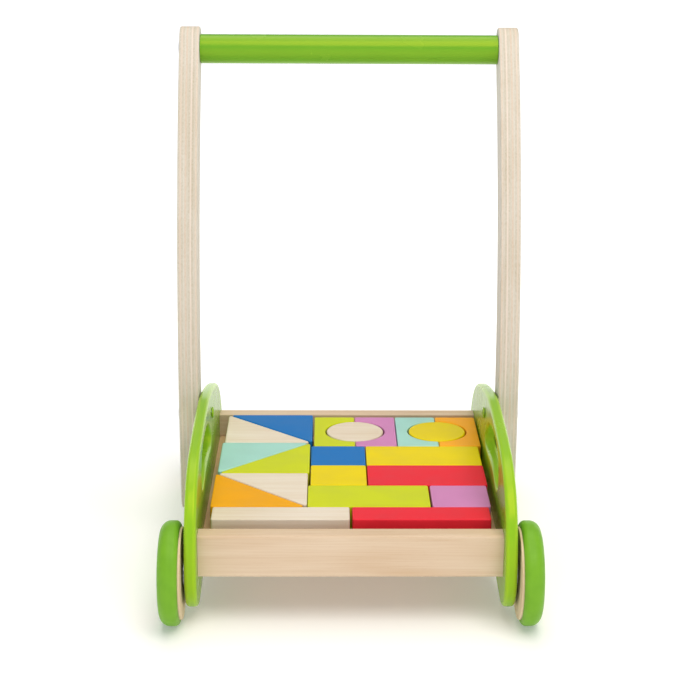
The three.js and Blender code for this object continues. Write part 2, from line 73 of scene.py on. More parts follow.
ENDS = ("front", "back")

# ---- Driving dimensions, in metres --------------------------------------------------------------

# Fineness of the meshes.
SUPPORT = 0.2 * MM  # a narrow band beside each rounding, which keeps the flat beyond it flat
FILLET_STEPS = 6
LARGE_RADIUS = 3 * MM  # a rounding at least this large gets more steps
LARGE_FILLET_STEPS = 14
CURVE_STEPS = 24
DOME_STEPS = 12
WHEEL_SEGMENTS = 128
FASTENER_SEGMENTS = 48
SAME_POINT = 0.01 * MM  # points that lie closer together than this count as one
LEAST_MITRE = 0.3  # stops an inset outline from running away at a sharp corner
FULL_EDGE_ANGLE = math.radians(14)  # a mesh edge at least this sharp gets the full edge value, which paints edges lighter: highlight and wear

CLOSE_GAP = 0.3 * MM  # what CAD leaves between touching faces, and the looks close

# Side panels and tray.
PANEL_ROUNDING = 2.8 * MM
RAIL_OUTER_ROUNDING = 2.2 * MM
RAIL_INNER_ROUNDING = 0.8 * MM
RAIL_BOTTOM_ROUNDING = 1.2 * MM
RAIL_END_ROUNDING = 0.3 * MM
GROOVE_DEPTH = 4.3 * MM
GROOVE_ROUNDING = 0.3 * MM
BOARD_ROUNDING = 0.5 * MM
BOARD_CORNER = 1 * MM

# Handle.
ARM_WIDTH = 28 * MM
ARM_BEND_Z = 95 * MM
ARM_BEND_RADIUS = 586 * MM
ARM_ROUNDING = 1.3 * MM
ARM_PLIES = 12
BAR_END_ROUNDING = 0.8 * MM
BAR_CENTRE = 0.2 * MM  # radius of the flat face that closes each end at its middle

# Blocks. A triangle's square corner is named by the side and the end that it points to.
BLOCK_ROUNDING = 1.1 * MM
BLOCK_CORNER = 1.7 * MM
NOTCH_RADIUS = 25 * MM
NOTCH_ON_RIGHT = ("lime", "aqua")
TRIANGLE_CORNERS = {
    "orange": ("left", "front"),
    "natural_front": ("right", "back"),
    "lime": ("right", "front"),
    "aqua": ("left", "back"),
    "natural_back": ("left", "front"),
    "blue": ("right", "back"),
}

# Wheels.
TYRE_INNER_ROUNDING = 4.2 * MM
TYRE_OUTER_ROUNDING = 8 * MM
INNER_SEAM_RADIUS = 34.3 * MM
OUTER_SEAM_RADIUS = 30.4 * MM
SEAM = 0.1 * MM  # between the tyre and the core
SEAM_ROUNDING = 0.1 * MM
CORE_INNER_ROUNDING = 0.5 * MM
CORE_OUTER_ROUNDING = 0.6 * MM
CORE_HOLE_ROUNDING = 0.4 * MM
CORE_SEAT_ROUNDING = 0.3 * MM
CAP_CENTRE = 0.5 * MM  # the same for the hub cap's underside
CAP_RIM_SHARE = 0.45  # of the cap's height, below its dome
AXLE_RADIUS = 3.7 * MM
AXLE_HEAD_HEIGHT = 3.9 * MM
AXLE_CENTRE = 1 * MM  # and for the axle's ends
AXLE_TIP_ROUNDING = 0.5 * MM
AXLE_NECK_ROUNDING = 0.4 * MM
AXLE_RIM_ROUNDING = 0.8 * MM

# Fasteners.
SCREW_SHANK = 2 * MM
BOLT_SHANK = 2.5 * MM
DOME_HEIGHT = 0.9 * MM
INNER_HEAD_HEIGHT = 2.2 * MM
RAIL_SCREW_HEAD_HEIGHT = 1 * MM
TIP_SHARE = 0.3  # of the shank's radius, flat at its tip
RIM_SHARE = 0.45  # of the head's height, taken up by its dome
RECESS_SHARE = 0.42  # of the head's radius, taken up by the key recess
CROWN_SHARE = 1.7  # the head's flat crown, in radii of the recess
HEX_RECESS_DEPTH = 1.4 * MM
SHANK_ROUNDING = 0.3 * MM
HEAD_SEAT_ROUNDING = 0.1 * MM
HEAD_RIM_ROUNDING = 0.4 * MM
HEAD_CROWN_ROUNDING = 0.3 * MM
RING_HOLE_ROUNDING = 0.15 * MM
NUT_HOLE_RADIUS = 2.8 * MM
NUT_ROUNDING = 0.4 * MM
WASHER_CLEARANCE = 0.3 * MM
WASHER_ROUNDING = 0.2 * MM

# Studio: a round floor, soft lights, and a camera in front of the cart, a little to its left and
# above it.
FLOOR_RADIUS = 5
SWEEP_RADIUS = 1.6
FLOOR_SEGMENTS = 96
CAMERA_PLACE = (-0.01758, -1.2694, 0.55874)
CAMERA_PITCH = math.radians(17.091)
CAMERA_YAW = math.radians(0.822)
CAMERA_ROLL = math.radians(0.344)
CAMERA_LENS = 85.91  # in millimetres, on Blender's standard 36 mm film
CAMERA_REACH = 100
GLOW_REACH = (0.1, 0.9)  # the distances from the origin between which the floor's glow rises; the dim glow near the cart paints shade under it
GLOW = (0.2, 0.76)
KEY_LIGHT = {"place": (0.4, -1.05, 2.2), "size": 1.7, "power": 38.5, "tint": (1, 0.955, 0.87)}
TOP_LIGHT = {"place": (0, 0.5, 2), "size": 1.4, "power": 14, "tint": (1, 0.96, 0.88)}
WORLD_TINT = (0.95, 0.98, 1.03, 1)
WORLD_STRENGTH = 0.28

# ---- Outlines -----------------------------------------------------------------------------------


class Outline:
    """A flat outline made of lines, curves and arcs, as points."""

    def __init__(self, start):
        self.points = [Vector(start)]

    def line(self, end):
        self.points.append(Vector(end))

    def curve(self, first_control, second_control, end):
        a, b, c, d = self.points[-1], Vector(first_control), Vector(second_control), Vector(end)
        for step in range(1, CURVE_STEPS + 1):
            t = step / CURVE_STEPS
            s = 1 - t
            self.points.append(a * s**3 + b * 3 * s * s * t + c * 3 * s * t * t + d * t**3)

    def arc(self, centre, radius, start, end):
        """Angles in degrees, from the point where the outline already is."""
        for step in range(1, CURVE_STEPS + 1):
            angle = math.radians(start + (end - start) * step / CURVE_STEPS)
            self.points.append(Vector(centre) + radius * Vector((math.cos(angle), math.sin(angle))))


def fillet(before, corner, after, radius):
    """The points of a round corner, with a support point on each side of it."""
    back = (before - corner).normalized()
    ahead = (after - corner).normalized()
    half = back.angle(ahead) / 2
    reach = radius / math.tan(half)
    centre = corner + (back + ahead).normalized() * radius / math.sin(half)
    first = (corner + back * reach - centre).normalized()
    last = (corner + ahead * reach - centre).normalized()
    steps = FILLET_STEPS if radius < LARGE_RADIUS else LARGE_FILLET_STEPS
    points = []
    if (before - corner).length > reach + SUPPORT:
        points.append(corner + back * (reach + SUPPORT))
    for step in range(steps + 1):
        points.append(centre + radius * first.slerp(last, step / steps))
    if (after - corner).length > reach + SUPPORT:
        points.append(corner + ahead * (reach + SUPPORT))
    return points


def rounded(points, radii, closed=True):
    """Rounds each corner by its own radius. A radius of 0 leaves the point as it is."""
    made = []
    for index, (corner, radius) in enumerate(zip(points, radii)):
        inner = closed or 0 < index < len(points) - 1
        if radius and inner:
            made += fillet(points[index - 1], corner, points[(index + 1) % len(points)], radius)
        else:
            made.append(corner)
    return made


def section(corners, closed=True):
    """A rounded section from (a, b, rounding) corners."""
    points = [Vector((a, b)) for a, b, _ in corners]
    return rounded(points, [rounding for _, _, rounding in corners], closed)


def polygon(corners, radius):
    points = [Vector(corner) for corner in corners]
    return rounded(points, [radius] * len(points))


def rectangle(low, high, radius):
    return polygon([(low.x, low.y), (high.x, low.y), (high.x, high.y), (low.x, high.y)], radius)


def turns_left(points):
    area = sum(a.x * b.y - b.x * a.y for a, b in zip(points, points[1:] + points[:1]))
    return area > 0


def inset(points, distance):
    """The outline moved to its left by a distance, corner by corner."""
    moved = []
    for index, point in enumerate(points):
        into = (point - points[index - 1]).normalized()
        out = (points[(index + 1) % len(points)] - point).normalized()
        normal = Vector((-into.y - out.y, into.x + out.x)).normalized()
        lean = max(LEAST_MITRE, normal.dot(Vector((-into.y, into.x))))
        moved.append(point + normal * (distance / lean))
    return moved


def without_repeats(points):
    kept = []
    for point in points:
        if not kept or (point - kept[-1]).length > SAME_POINT:
            kept.append(point)
    if (kept[0] - kept[-1]).length <= SAME_POINT:
        kept.pop()
    return kept


# ---- Solids -------------------------------------------------------------------------------------


def finish_mesh(name, bm):
    """Closes the work on a solid: outward faces, smooth shading, and an edge value from 0 on flats
    to 1 on roundings, which the paints use to make edges lighter: painted highlight, and wear on blocks."""
    bmesh.ops.recalc_face_normals(bm, faces=bm.faces)
    edge_value = bm.verts.layers.float.new("edge")
    for vertex in bm.verts:
        sharpest = max(edge.calc_face_angle(0) for edge in vertex.link_edges)
        vertex[edge_value] = min(1, sharpest / FULL_EDGE_ANGLE)
    for face in bm.faces:
        face.smooth = True
    mesh = bpy.data.meshes.new(name)
    bm.to_mesh(mesh)
    bm.free()
    piece = bpy.data.objects.new(name, mesh)
    bpy.context.scene.collection.objects.link(piece)
    return piece


def bridge(bm, ring, other):
    for index in range(len(ring)):
        following = (index + 1) % len(ring)
        bm.faces.new((ring[index], ring[following], other[following], other[index]))


def slab_levels(low, high, rounding):
    """The (inset, depth) pairs that carry an outline from low to high with both edges rounded."""
    levels = [(rounding + SUPPORT, low)]
    for step in range(FILLET_STEPS + 1):
        angle = math.pi / 2 * step / FILLET_STEPS
        levels.append((rounding * (1 - math.sin(angle)), low + rounding * (1 - math.cos(angle))))
    levels.append((0, low + rounding + SUPPORT))
    return levels + [(distance, low + high - depth) for distance, depth in reversed(levels)]


def slab(name, outline, low, high, rounding, place, holes=()):
    """An outline carried from low to high with rounded edges. place(a, b, c) says where outline
    point (a, b) at depth c lies."""
    levels = slab_levels(low, high, rounding)
    bm = bmesh.new()
    first_rings = []
    last_rings = []
    for loop, outer in [(outline, True)] + [(hole, False) for hole in holes]:
        points = without_repeats(loop)
        if turns_left(points) != outer:
            points.reverse()
        rings = []
        for distance, depth in levels:
            moved = inset(points, distance)
            rings.append([bm.verts.new(place(point.x, point.y, depth)) for point in moved])
        for ring, other in zip(rings, rings[1:]):
            bridge(bm, ring, other)
        first_rings.append(rings[0])
        last_rings.append(rings[-1])
    for end_rings in (first_rings, last_rings):
        fill(bm, end_rings)
    return finish_mesh(name, bm)


def fill(bm, rings):
    """Closes one end of a slab: one face, or triangles where there are holes."""
    if len(rings) == 1:
        bm.faces.new(rings[0])
        return
    bm.edges.ensure_lookup_table()
    edges = []
    for ring in rings:
        edges += [bm.edges.get((ring[index - 1], ring[index])) for index in range(len(ring))]
    bmesh.ops.triangle_fill(bm, edges=edges, use_beauty=True)


def across(y, z, x):
    """For an outline seen from the side, with its depth across the cart."""
    return (x, y, z)


def upward(x, y, z):
    """For an outline seen from above, with its depth upwards."""
    return (x, y, z)


def hexagon_share(angle):
    """How far a hexagon's edge lies from its centre at an angle, as a share of its corner radius."""
    sixth = math.pi / 3
    within = math.fmod(angle + sixth / 2, sixth) - sixth / 2
    return math.cos(sixth / 2) / math.cos(within)


def turned(name, profile, centre, side, segments, closed=False, hexagon_from=None):
    """Turns (distance from the centre plane, radius) points about an axis along X. From the given
    point on, the rings are hexagons, as in a key recess. An open profile gets a flat face at each
    end."""
    bm = bmesh.new()
    rings = []
    for index, point in enumerate(profile):
        hexagonal = hexagon_from is not None and index >= hexagon_from
        ring = []
        for step in range(segments):
            angle = 2 * math.pi * step / segments
            radius = point.y * (hexagon_share(angle) if hexagonal else 1)
            y = centre.y + radius * math.cos(angle)
            z = centre.z + radius * math.sin(angle)
            ring.append(bm.verts.new((side * point.x, y, z)))
        rings.append(ring)
    for ring, other in zip(rings, rings[1:] + rings[:1] if closed else rings[1:]):
        bridge(bm, ring, other)
    if not closed:
        bm.faces.new(rings[0])
        bm.faces.new(rings[-1])
    return finish_mesh(name, bm)


# ---- Materials ----------------------------------------------------------------------------------


def linear(channel):
    """One sRGB channel as linear light, by the standard's own formula."""
    return channel / 12.92 if channel <= 0.04045 else ((channel + 0.055) / 1.055) ** 2.4


def colour(code):
    """A linear colour from an sRGB code such as #8fce32."""
    return (*(linear(int(code[start : start + 2], 16) / 255) for start in (1, 3, 5)), 1)


class Nodes:
    """A short way to build a material's node tree."""

    def __init__(self, name):
        self.material = bpy.data.materials.new(name)
        self.material.use_nodes = True
        self.tree = self.material.node_tree
        self.shader = self.tree.nodes["Principled BSDF"]
        self.position = self.add("ShaderNodeTexCoord").outputs["Object"]

    def add(self, kind, **settings):
        node = self.tree.nodes.new(kind)
        for key, value in settings.items():
            setattr(node, key, value)
        return node

    def set(self, socket, value):
        if isinstance(value, bpy.types.NodeSocket):
            self.tree.links.new(value, socket)
        else:
            socket.default_value = value

    def noise(self, scale, detail, distortion=0):
        """Noise whose scale, in features per metre, is given along X, Y and Z."""
        mapping = self.add("ShaderNodeMapping")
        self.set(mapping.inputs["Vector"], self.position)
        self.set(mapping.inputs["Scale"], scale)
        node = self.add("ShaderNodeTexNoise")
        self.set(node.inputs["Vector"], mapping.outputs["Vector"])
        self.set(node.inputs["Scale"], 1)
        self.set(node.inputs["Detail"], detail)
        self.set(node.inputs["Distortion"], distortion)
        return node.outputs["Fac"]

    def math(self, operation, *values):
        node = self.add("ShaderNodeMath", operation=operation)
        for socket, value in zip(node.inputs, values):
            self.set(socket, value)
        return node.outputs["Value"]

    def total(self, *parts):
        """The sum of (value, share) parts."""
        so_far = 0
        for value, share in parts:
            so_far = self.math("ADD", so_far, self.math("MULTIPLY", value, share))
        return so_far

    def between(self, value, low, high, to_low=0, to_high=1):
        """A smooth step from to_low to to_high while the value goes from low to high."""
        node = self.add("ShaderNodeMapRange", interpolation_type="SMOOTHSTEP")
        self.set(node.inputs["Value"], value)
        self.set(node.inputs["From Min"], low)
        self.set(node.inputs["From Max"], high)
        self.set(node.inputs["To Min"], to_low)
        self.set(node.inputs["To Max"], to_high)
        return node.outputs["Result"]

    def mix(self, amount, a, b):
        node = self.add("ShaderNodeMix", data_type="RGBA")
        first, second = [socket for socket in node.inputs if socket.type == "RGBA"]
        self.set(node.inputs["Factor"], amount)
        self.set(first, a)
        self.set(second, b)
        return next(socket for socket in node.outputs if socket.type == "RGBA")

    def rounding_amount(self):
        # drives the lighter roundings: a painted highlight on the lacquer, and highlight plus wear on
        # blocks
        """The meshes' own edge value, from 0 on flats to 1 on roundings."""
        return self.add("ShaderNodeAttribute", attribute_name="edge").outputs["Fac"]

    def bump(self, height, strength, distance):
        node = self.add("ShaderNodeBump")
        self.set(node.inputs["Strength"], strength)
        self.set(node.inputs["Distance"], distance)
        self.set(node.inputs["Height"], height)
        self.set(self.shader.inputs["Normal"], node.outputs["Normal"])

    def finish(self, base, roughness, **others):
        self.set(self.shader.inputs["Base Color"], base)
        self.set(self.shader.inputs["Roughness"], roughness)
        for name, value in others.items():
            self.set(self.shader.inputs[name.replace("_", " ")], value)
        return self.material


def even(scale):
    return (scale, scale, scale)


def along(axis, across_grain, along_grain):
    """A scale that is one value along the grain's axis and another across it."""
    return tuple(along_grain if axis == letter else across_grain for letter in "XYZ")


def natural_wood(name, pale, dark, grain):
    """Pale sanded wood: broad growth bands, fine fibres, and the short dark flecks of beech."""
    nodes = Nodes(name)
    bands = nodes.noise(along(grain, 70, 5), detail=2, distortion=0.8)
    fibres = nodes.noise(along(grain, 900, 18), detail=4)
    flecks = nodes.noise(along(grain, 1100, 160), detail=1)
    patches = nodes.noise(even(9), detail=2)
    tone = nodes.total(
        (nodes.between(bands, 0.35, 0.7), 0.28),
        (nodes.between(fibres, 0.35, 0.75), 0.22),
        (nodes.between(patches, 0.3, 0.7), 0.2),
        (nodes.between(flecks, 0.66, 0.74), 0.12),
    )
    nodes.bump(fibres, 0.25, 0.05 * MM)
    roughness = nodes.between(fibres, 0.2, 0.8, 0.5, 0.62)
    return nodes.finish(nodes.mix(tone, colour(pale), colour(dark)), roughness, IOR=1.3)


def plywood(name, pale, dark, rosy, inner_x, outer_x):
    """Plies lie in planes of constant X, so that flat faces show one veneer and edges show them all.
    The half ply added to the depth keeps each flat face within one ply, however the plies wander."""
    nodes = Nodes(name)
    split = nodes.add("ShaderNodeSeparateXYZ")
    nodes.set(split.inputs["Vector"], nodes.position)
    distance = nodes.math("ABSOLUTE", split.outputs["X"])
    level = nodes.math("DIVIDE", nodes.math("SUBTRACT", distance, inner_x), (outer_x - inner_x) / ARM_PLIES)
    wander = nodes.math("ADD", nodes.noise((20, 20, 12), detail=2), 0.5)
    depth = nodes.math("ADD", level, nodes.math("MULTIPLY", wander, 0.5))
    ply = nodes.math("FLOOR", depth)
    within = nodes.math("FRACT", depth)
    tint = nodes.add("ShaderNodeTexWhiteNoise", noise_dimensions="1D")
    nodes.set(tint.inputs["W"], ply)
    odd = nodes.math("MODULO", nodes.math("ABSOLUTE", ply), 2)
    long_grain = nodes.noise((1400, 1400, 25), detail=3)
    end_grain = nodes.noise((900, 900, 700), detail=2)
    bands = nodes.noise((60, 60, 4), detail=2, distortion=0.6)
    glue = nodes.math("ADD", nodes.between(within, 0, 0.14, 1, 0), nodes.between(within, 0.88, 1))
    tone = nodes.total(
        (tint.outputs["Value"], 0.35),
        (odd, nodes.between(end_grain, 0.3, 0.8, 0.12, 0.4)),
        (nodes.between(long_grain, 0.35, 0.8), 0.22),
        (nodes.between(bands, 0.4, 0.7), 0.15),
        (glue, 0.25),
    )
    rhythm = nodes.math("SINE", nodes.math("MULTIPLY", ply, 2.1))  # picks out a ply here and there
    rosiness = nodes.between(rhythm, 0.4, 1, 0, 0.35)
    base = nodes.mix(rosiness, nodes.mix(tone, colour(pale), colour(dark)), colour(rosy))
    nodes.bump(long_grain, 0.2, 0.05 * MM)
    return nodes.finish(base, nodes.between(long_grain, 0.2, 0.8, 0.5, 0.62), IOR=1.3)


def lacquer(name, main, light, glint):
    """Thick gloss lacquer on wood: slow waves in the film, and a painted highlight in a lighter colour on
    edges.
    """
    nodes = Nodes(name)
    waves = nodes.noise(even(60), detail=1)
    cloud = nodes.noise(even(30), detail=5, distortion=0.4)
    # the lighter colour on the roundings is a painted highlight; the cloud adds random tone in the film
    amount = nodes.total((nodes.between(cloud, 0.2, 0.8), 0.1), (nodes.rounding_amount(), 0.25))
    nodes.bump(waves, 0.08, 0.1 * MM)
    base = nodes.mix(amount, colour(main), colour(light))
    roughness = nodes.between(cloud, 0.2, 0.8, 0.24, 0.28)
    return nodes.finish(base, roughness, IOR=1.55, Specular_Tint=colour(glint))


def block_paint(name, main):
    """Satin paint on a sanded block: the grain shows faintly, and edges are a little paler, partly rubbed
    wear and partly a painted highlight.
    """
    nodes = Nodes(name)
    grain = nodes.noise(along("X", 700, 40), detail=3)
    cloud = nodes.noise(even(45), detail=3)
    tone = nodes.add("ShaderNodeHueSaturation")
    clouding = nodes.between(cloud, 0.3, 0.7, 0.97, 1.03)
    # paler roundings: partly rubbed wear, partly a painted highlight
    brightness = nodes.math("ADD", clouding, nodes.math("MULTIPLY", nodes.rounding_amount(), 0.06))
    nodes.set(tone.inputs["Value"], brightness)
    nodes.set(tone.inputs["Color"], colour(main))
    nodes.bump(grain, 0.15, 0.05 * MM)
    return nodes.finish(tone.outputs["Color"], nodes.between(cloud, 0.3, 0.7, 0.4, 0.5), IOR=1.2)


def rubber(name, main, dark):
    """Smooth satin rubber with a little dust and fine pores."""
    nodes = Nodes(name)
    dust = nodes.noise(even(120), detail=4)
    pores = nodes.noise(even(1800), detail=1)
    base = nodes.mix(nodes.between(dust, 0.35, 0.7, 0, 0.35), colour(main), colour(dark))
    nodes.bump(pores, 0.15, 0.05 * MM)
    return nodes.finish(base, nodes.between(dust, 0.3, 0.7, 0.38, 0.5), IOR=1.25)


def zinc_steel(name, pale, dark):
    """Zinc-plated steel: faint spangles in its colour, and fine streaks in its gloss."""
    nodes = Nodes(name)
    streaks = nodes.noise(along("X", 2500, 300), detail=3)
    spangles = nodes.noise(even(400), detail=2)
    base = nodes.mix(nodes.between(spangles, 0.3, 0.7), colour(pale), colour(dark))
    nodes.bump(streaks, 0.15, 0.02 * MM)
    return nodes.finish(base, nodes.between(streaks, 0.3, 0.7, 0.24, 0.42), Metallic=1)


def glowing_floor(name, main):
    """A white floor that glows less under the cart than further away: the dim glow there paints shade under
    the cart.
    """
    nodes = Nodes(name)
    distance = nodes.add("ShaderNodeVectorMath", operation="LENGTH")
    nodes.set(distance.inputs[0], nodes.position)
    # glow dimmed near the cart: painted shade under it
    glow = nodes.between(distance.outputs["Value"], *GLOW_REACH, *GLOW)
    white = (1, 1, 1, 1)
    return nodes.finish(colour(main), 0.8, IOR=1.1, Emission_Color=white, Emission_Strength=glow)


def box_of(node):
    low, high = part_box(node)
    return Vector(low), Vector(high)


def touching_box(node):
    """A piece's box, made long enough to touch the pieces at both its ends."""
    low, high = box_of(node)
    low.x -= CLOSE_GAP
    high.x += CLOSE_GAP
    return low, high


ARM_LOW, ARM_HIGH = box_of("handle_arm_right")

MATERIALS = {
    "green_lacquer": lacquer("green_lacquer", "#84bb28", "#b0d02e", "#ffd848"),
    "green_rubber": rubber("green_rubber", "#76ad2c", "#689f27"),
    "birch_ply": plywood("birch_ply", "#d9d5ce", "#b6a78d", "#e3c3ad", ARM_LOW.x, ARM_HIGH.x),
    "beech": natural_wood("beech", "#dfcab2", "#c4a07a", "X"),
    "steel": zinc_steel("steel", "#c3c6c9", "#a9adb2"),
    "block_wood": natural_wood("block_wood", "#e9ded0", "#d0b898", "X"),
    "paint_blue": block_paint("paint_blue", "#1e72bc"),
    "paint_aqua": block_paint("paint_aqua", "#a4d4cc"),
    "paint_lime": block_paint("paint_lime", "#c9d220"),
    "paint_orange": block_paint("paint_orange", "#eea70f"),
    "paint_tangerine": block_paint("paint_tangerine", "#faac26"),
    "paint_yellow": block_paint("paint_yellow", "#e7cf0c"),
    "paint_red": block_paint("paint_red", "#e62d3c"),
    "paint_violet": block_paint("paint_violet", "#cc86ba"),
}
# Three kinds of piece whose colour or grain differs from the rest of their slot.
# The grip bar's darker green is painted shade: a shaded copy of the panels' lacquer.
SHADED_BAR_LACQUER = lacquer("shaded_bar_lacquer", "#65a22c", "#7fb530", "#ffd840")
WHEEL_WOOD = natural_wood("wheel_wood", "#ecd9ba", "#cdab80", "Z")
FLOOR_PLY = natural_wood("floor_ply", "#dfbd92", "#c79f70", "X")


def stand_in(piece, node, material=None):
    """The piece takes a CAD node's place: its body, its slot and that slot's material."""
    piece.data.materials.append(material or MATERIALS[SLOT_OF[node]])
    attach(piece, BODY_OF[node])
    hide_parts(node)


# ---- Side panels --------------------------------------------------------------------------------


def in_metres(outline):
    return [point * MM for point in outline.points]


def panel_outline():
    """Small round feet, a high front shoulder, a long slope behind and a shallow arch below, drawn
    in millimetres as (y, z)."""
    foot_y, foot_z, foot_radius = 130, 41, 30.4
    belly_z = 24
    end = foot_y + foot_radius
    sole = foot_z - foot_radius
    heel = foot_z + 4
    outline = Outline((0, belly_z))
    outline.curve((-60, belly_z), (-108, sole), (-foot_y, sole))
    outline.arc((-foot_y, foot_z), foot_radius, -90, -180)
    outline.line((-end, heel))
    outline.curve((-end, 87.7), (-133.7, 113.7), (-90, 119.8))
    outline.curve((-65.2, 123.3), (-25, 126), (0, 126))
    outline.curve((25, 126), (72, 116), (105, 106))
    outline.curve((124, 99.7), (end, 78), (end, heel))
    outline.line((end, foot_z))
    outline.arc((foot_y, foot_z), foot_radius, 0, -90)
    outline.curve((108, sole), (60, belly_z), (0, belly_z))
    return in_metres(outline)


def hand_hole():
    """The long window, whose top follows the panel's and whose sill humps up slightly."""
    hole = Outline((-74, 80.5))
    hole.curve((-62, 80.5), (-56, 86), (-38, 86))
    hole.curve((-20, 86), (-6, 83), (8, 83))
    hole.curve((24, 83), (23, 94.4), (0, 105))
    hole.curve((-22, 115), (-62, 117), (-80, 109))
    hole.curve((-93, 103.2), (-91, 80.5), (-74, 80.5))
    return in_metres(hole)


def build_side_panels():
    for side in SIDES:
        node = f"side_panel_{side}"
        low, high = box_of(node)
        panel = slab(f"{node}_fine", panel_outline(), low.x, high.x, PANEL_ROUNDING, across, [hand_hole()])
        stand_in(panel, node)


# ---- Tray ---------------------------------------------------------------------------------------


def rail_outline(low, high, inward):
    """A rail's section, with the groove for the floor board on the side towards the blocks."""
    outer, inner = (low.y, high.y) if inward > 0 else (high.y, low.y)
    groove = inner - inward * GROOVE_DEPTH
    board_low, board_high = box_of("tray_floor")
    corners = [
        (outer, low.z, RAIL_BOTTOM_ROUNDING),
        (outer, high.z, RAIL_OUTER_ROUNDING),
        (inner, high.z, RAIL_INNER_ROUNDING),
        (inner, board_high.z + SUPPORT, GROOVE_ROUNDING),
        (groove, board_high.z + SUPPORT, 0),
        (groove, board_low.z - SUPPORT, 0),
        (inner, board_low.z - SUPPORT, GROOVE_ROUNDING),
        (inner, low.z, RAIL_BOTTOM_ROUNDING),
    ]
    return section(corners)


def build_rail(node, inward):
    """inward is 1 where the blocks lie towards +Y of the rail, and -1 where they lie towards -Y."""
    low, high = touching_box(node)
    outline = rail_outline(low, high, inward)
    rail = slab(f"{node}_fine", outline, low.x, high.x, RAIL_END_ROUNDING, across)
    stand_in(rail, node)


def build_tray_floor():
    low, high = touching_box("tray_floor")
    outline = rectangle(low, high, BOARD_CORNER)
    board = slab("tray_floor_fine", outline, low.z, high.z, BOARD_ROUNDING, upward)
    stand_in(board, "tray_floor", FLOOR_PLY)


# ---- Handle -------------------------------------------------------------------------------------


def arm_outline(low, high):
    """A strip with round ends, upright at the panel and then curving back."""
    half = ARM_WIDTH / 2
    foot = Vector((low.y + half, low.z + half))
    centre = Vector((foot.x + ARM_BEND_RADIUS, ARM_BEND_Z))
    lean = math.asin((high.z - half - ARM_BEND_Z) / ARM_BEND_RADIUS)
    top = centre + ARM_BEND_RADIUS * Vector((-math.cos(lean), math.sin(lean)))
    tilt = math.degrees(lean)
    outline = Outline(foot - Vector((half, 0)))
    outline.line(centre - Vector((ARM_BEND_RADIUS + half, 0)))
    outline.arc(centre, ARM_BEND_RADIUS + half, 180, 180 - tilt)
    outline.arc(top, half, 180 - tilt, -tilt)
    outline.arc(centre, ARM_BEND_RADIUS - half, 180 - tilt, 180)
    outline.line(foot + Vector((half, 0)))
    outline.arc(foot, half, 0, -180)
    return outline.points


def build_arms():
    for side in SIDES:
        node = f"handle_arm_{side}"
        low, high = box_of(node)
        arm = slab(f"{node}_fine", arm_outline(low, high), low.x, high.x, ARM_ROUNDING, across)
        stand_in(arm, node)


def build_grip_bar():
    low, high = touching_box("grip_bar")
    radius = (high.z - low.z) / 2
    corners = [
        (-high.x, BAR_CENTRE, 0),
        (-high.x, radius, BAR_END_ROUNDING),
        (high.x, radius, BAR_END_ROUNDING),
        (high.x, BAR_CENTRE, 0),
    ]
    bar = turned("grip_bar_fine", section(corners, closed=False), (low + high) / 2, 1, WHEEL_SEGMENTS)
    # the bar takes the darker lacquer, which paints shade on it
    stand_in(bar, "grip_bar", SHADED_BAR_LACQUER)


# ---- Fasteners ----------------------------------------------------------------------------------


def distances(node):
    """A piece's nearest and furthest distance from the centre plane, its axis and its radius."""
    low, high = box_of(node)
    near, far = sorted((abs(low.x), abs(high.x)))
    return near, far, (low + high) / 2, (high.z - low.z) / 2


def build_headed(node, side, shank, head_height, facing):
    """A screw or bolt whose domed head has a hexagon recess. facing is 1 where the head is at the
    end away from the centre plane, and -1 where it faces inwards."""
    near, far, centre, radius = distances(node)
    tip, top = (near, far) if facing > 0 else (far, near)
    seat = top - facing * head_height
    rim = top - facing * head_height * RIM_SHARE
    recess = radius * RECESS_SHARE
    corners = [
        (tip, shank * TIP_SHARE, 0),
        (tip, shank, SHANK_ROUNDING),
        (seat, shank, 0),
        (seat, radius, HEAD_SEAT_ROUNDING),
        (rim, radius, HEAD_RIM_ROUNDING),
        (top, recess * CROWN_SHARE, HEAD_CROWN_ROUNDING),
        (top, recess, 0),
    ]
    profile = section(corners, closed=False)
    hexagon_from = len(profile) - 1
    profile.append(Vector((top - facing * HEX_RECESS_DEPTH, recess)))
    name = f"{node}_fine"
    screw = turned(name, profile, centre, SIDES[side], FASTENER_SEGMENTS, hexagon_from=hexagon_from)
    stand_in(screw, node)


def build_ring(node, side, bore, rounding):
    """A washer or nut: a ring with its outer corners rounded."""
    near, far, centre, radius = distances(node)
    corners = [
        (near, bore, RING_HOLE_ROUNDING),
        (near, radius, rounding),
        (far, radius, rounding),
        (far, bore, RING_HOLE_ROUNDING),
    ]
    ring = turned(f"{node}_fine", section(corners), centre, SIDES[side], FASTENER_SEGMENTS, closed=True)
    stand_in(ring, node)


def build_fasteners():
    for side in SIDES:
        build_headed(f"arm_bolt_{side}", side, BOLT_SHANK, DOME_HEIGHT, 1)
        build_headed(f"grip_screw_{side}", side, SCREW_SHANK, DOME_HEIGHT, 1)
        build_headed(f"arm_screw_{side}", side, SCREW_SHANK, INNER_HEAD_HEIGHT, -1)
        build_ring(f"arm_nut_{side}", side, NUT_HOLE_RADIUS, NUT_ROUNDING)
        for end in ENDS:
            build_headed(f"rail_screw_{end}_{side}", side, SCREW_SHANK, RAIL_SCREW_HEAD_HEIGHT, 1)


# ---- Wheels -------------------------------------------------------------------------------------


def tyre_step(end, side):
    """The distance from the centre plane at which the tyre's bore and the core step."""
    _, far, _, _ = distances(f"tyre_{end}_{side}")
    return far - TYRE_OUTER_ROUNDING


